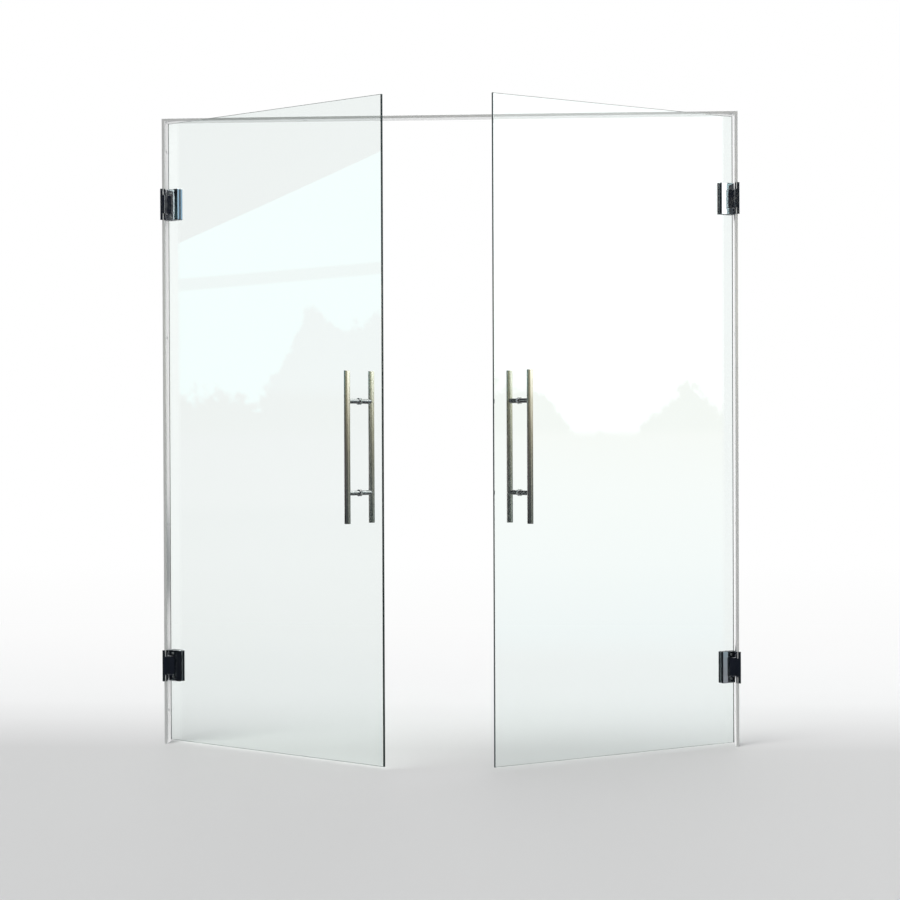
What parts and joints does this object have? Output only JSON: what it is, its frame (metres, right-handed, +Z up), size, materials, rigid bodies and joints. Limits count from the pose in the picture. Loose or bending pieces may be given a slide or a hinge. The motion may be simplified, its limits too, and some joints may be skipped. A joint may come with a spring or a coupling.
{
  "type": "glass entrance door",
  "caption": "Pair of frameless clear glass doors on double-acting wall hinges in a slim flat-bar frame, with back-to-back tubular ladder pulls, standing open.",
  "frame": {"origin": "middle of the head's top face, centre of the head's two fixing holes", "axes": "+Z up, +X to the right seen from outside, -Y towards the viewer, to whom both leaves stand open"},
  "size_m": [2.032, 0.5942, 2.21],
  "materials": {
    "frame_paint": "satin",
    "polished_chrome": "polished",
    "satin_steel": "brushed",
    "screw_steel": "plain",
    "pin_steel": "ground",
    "clear_glass": "clear",
    "gasket_rubber": "matt",
    "nylon": "matt",
    "urethane": "matt"
  },
  "bodies": {
    "frame": {"head": "frame_paint", "corner_screws": "screw_steel", "left_jamb": "frame_paint", "left_bracket_screws": "screw_steel", "left_detent_plungers": "pin_steel", "left_detent_springs": "urethane", "left_detent_plugs": "screw_steel", "left_thrust_washers": "nylon", "left_top_bracket": "polished_chrome", "left_bottom_bracket": "polished_chrome", "right_jamb": "frame_paint", "right_bracket_screws": "screw_steel", "right_detent_plungers": "pin_steel", "right_detent_springs": "urethane", "right_detent_plugs": "screw_steel", "right_thrust_washers": "nylon", "right_top_bracket": "polished_chrome", "right_bottom_bracket": "polished_chrome"},
    "left_leaf": {"left_glass": "clear_glass", "left_clamp_screws": "screw_steel", "left_outer_pull_tube": "satin_steel", "left_inner_pull_tube": "satin_steel", "left_pull_tube_caps": "satin_steel", "left_outer_pull_posts": "satin_steel", "left_inner_pull_posts": "satin_steel", "left_pull_rosettes": "satin_steel", "left_pull_pads": "nylon", "left_pull_sleeves": "nylon", "left_pull_studs": "screw_steel", "left_top_pin": "pin_steel", "left_top_front_clamp": "polished_chrome", "left_top_rear_clamp": "polished_chrome", "left_top_gaskets": "gasket_rubber", "left_bottom_pin": "pin_steel", "left_bottom_front_clamp": "polished_chrome", "left_bottom_rear_clamp": "polished_chrome", "left_bottom_gaskets": "gasket_rubber"},
    "right_leaf": {"right_glass": "clear_glass", "right_clamp_screws": "screw_steel", "right_outer_pull_tube": "satin_steel", "right_inner_pull_tube": "satin_steel", "right_pull_tube_caps": "satin_steel", "right_outer_pull_posts": "satin_steel", "right_inner_pull_posts": "satin_steel", "right_pull_rosettes": "satin_steel", "right_pull_pads": "nylon", "right_pull_sleeves": "nylon", "right_pull_studs": "screw_steel", "right_top_pin": "pin_steel", "right_top_front_clamp": "polished_chrome", "right_top_rear_clamp": "polished_chrome", "right_top_gaskets": "gasket_rubber", "right_bottom_pin": "pin_steel", "right_bottom_front_clamp": "polished_chrome", "right_bottom_rear_clamp": "polished_chrome", "right_bottom_gaskets": "gasket_rubber"}
  },
  "joints": [
    {"name": "left_leaf_swing", "type": "hinge", "parent": "frame", "child": "left_leaf", "pos_m": [-0.98, 0, -1.1], "axis": [0, 0, 1], "range_deg": [-55, 125]},
    {"name": "right_leaf_swing", "type": "hinge", "parent": "frame", "child": "right_leaf", "pos_m": [0.98, 0, -1.1], "axis": [0, 0, -1], "range_deg": [-55, 125]}
  ]
}
